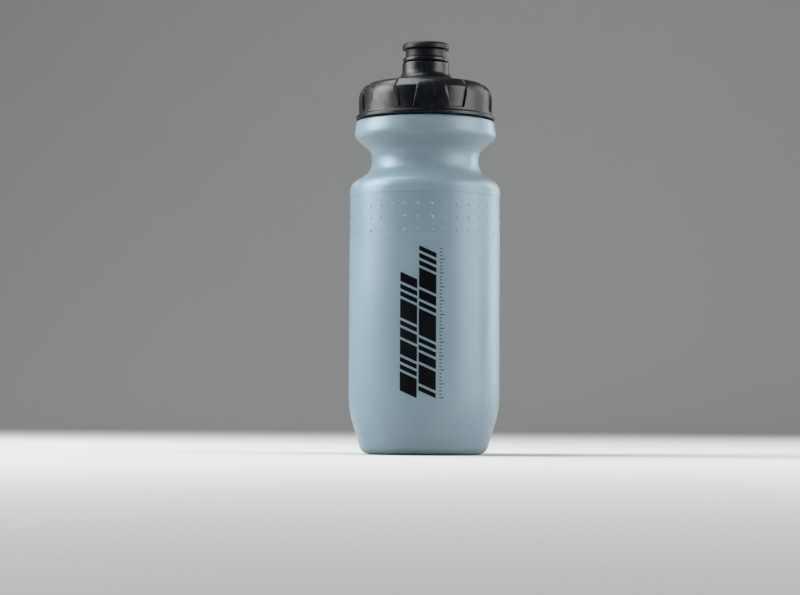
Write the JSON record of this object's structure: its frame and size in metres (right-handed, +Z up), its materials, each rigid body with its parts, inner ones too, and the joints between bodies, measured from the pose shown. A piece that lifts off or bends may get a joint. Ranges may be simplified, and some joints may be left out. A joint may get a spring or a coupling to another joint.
{
  "type": "water bottle",
  "caption": "Translucent squeeze water bottle for a bicycle cage, with a waisted shoulder, dotted grip band, black faceted screw cap and push-pull drinking nozzle.",
  "frame": {"origin": "centre of the circle the bottle stands on, at the bottom of its box", "axes": "+Z runs up the bottle's axis, through the nozzle; the printed front faces -Y; +X is to the right seen from the front"},
  "size_m": [0.0738, 0.0738, 0.2018],
  "materials": {
    "bottle_ldpe": "milky translucent low-density polyethylene with a soft satin sheen",
    "cap_pp": "black moulded polypropylene, semi-gloss",
    "nozzle_pp": "black moulded polypropylene, semi-gloss",
    "mouthpiece_tpe": "soft black over-moulded elastomer, satin",
    "silicone": "natural silicone, smooth",
    "gasket_rubber": "grey sealing rubber, matt"
  },
  "bodies": {
    "bottle": {"bottle_body": "bottle_ldpe"},
    "seal": {"cap_gasket": "gasket_rubber"},
    "cap": {"screw_cap": "cap_pp", "valve_post": "cap_pp"},
    "nozzle": {"nozzle_slider": "nozzle_pp", "nozzle_seal": "silicone", "flow_valve": "silicone", "valve_retainer": "nozzle_pp", "nozzle_mouthpiece": "mouthpiece_tpe"}
  },
  "joints": [
    {"name": "cap_rise", "type": "slide", "parent": "bottle", "child": "seal", "axis": [0, 0, 1], "range_m": [0, 0.03]},
    {"name": "cap_turn", "type": "hinge", "parent": "seal", "child": "cap", "pos_m": [0, 0, 0.17], "axis": [0, 0, 1], "range_deg": [0, 1800]},
    {"name": "nozzle_pull", "type": "slide", "parent": "cap", "child": "nozzle", "axis": [0, 0, 1], "range_m": [0, 0.006]}
  ],
  "couplings": [
    {"joint": "cap_rise", "follows": "cap_turn", "m_per_rad": 0.00095493}
  ]
}
